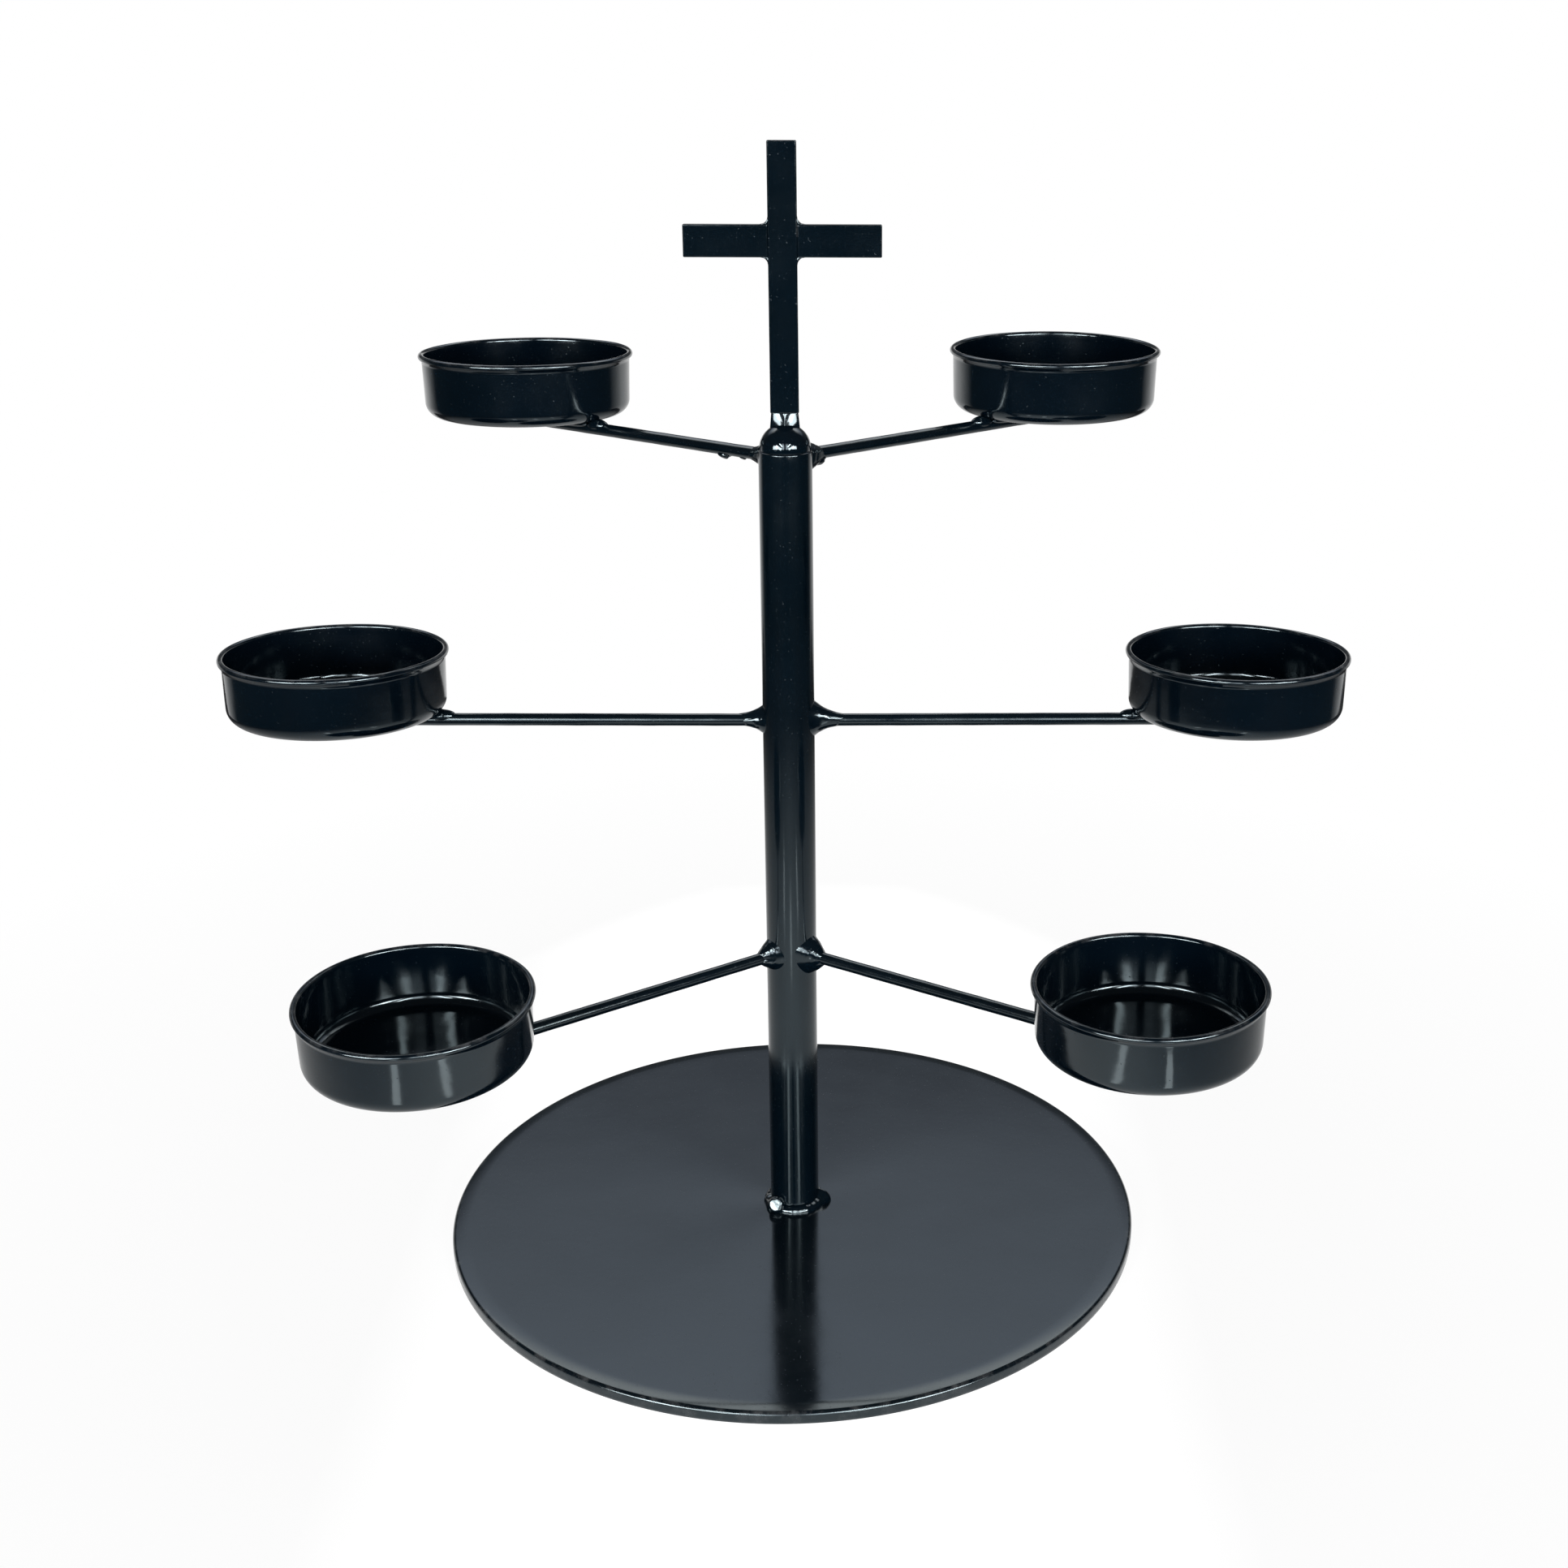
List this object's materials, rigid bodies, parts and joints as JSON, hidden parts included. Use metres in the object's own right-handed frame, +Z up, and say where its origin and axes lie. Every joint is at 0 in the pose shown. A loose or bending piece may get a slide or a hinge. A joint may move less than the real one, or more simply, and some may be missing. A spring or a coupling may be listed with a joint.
{
  "type": "altar candle stand",
  "caption": "Welded steel candle stand: round base disc, upright tube with a domed cap and a flat cross, and rod arms in tiers that carry shallow round candle cups.",
  "frame": {"origin": "middle of the base disc, on the table", "axes": "+Z up along the post, +X to the right of someone who faces the stand's front, +Y to the back; the lower cups stand towards -Y"},
  "size_m": [0.3887, 0.254, 0.3899],
  "materials": {
    "black_enamel": "gloss"
  },
  "bodies": {
    "root": {"arm_lower_left": "black_enamel", "arm_lower_right": "black_enamel", "arm_middle_left": "black_enamel", "arm_middle_right": "black_enamel", "arm_top_left": "black_enamel", "arm_top_right": "black_enamel", "arm_welds_lower": "black_enamel", "arm_welds_middle": "black_enamel", "arm_welds_top": "black_enamel", "base_disc": "black_enamel", "cross_arm_left": "black_enamel", "cross_arm_right": "black_enamel", "cross_corner_welds": "black_enamel", "cross_foot_weld": "black_enamel", "cross_upright": "black_enamel", "cup_lower_left": "black_enamel", "cup_lower_right": "black_enamel", "cup_middle_left": "black_enamel", "cup_middle_right": "black_enamel", "cup_top_left": "black_enamel", "cup_top_right": "black_enamel", "cup_welds_lower": "black_enamel", "cup_welds_middle": "black_enamel", "cup_welds_top": "black_enamel", "post_cap": "black_enamel", "post_foot_weld": "black_enamel", "post_tube": "black_enamel"}
  },
  "joints": []
}
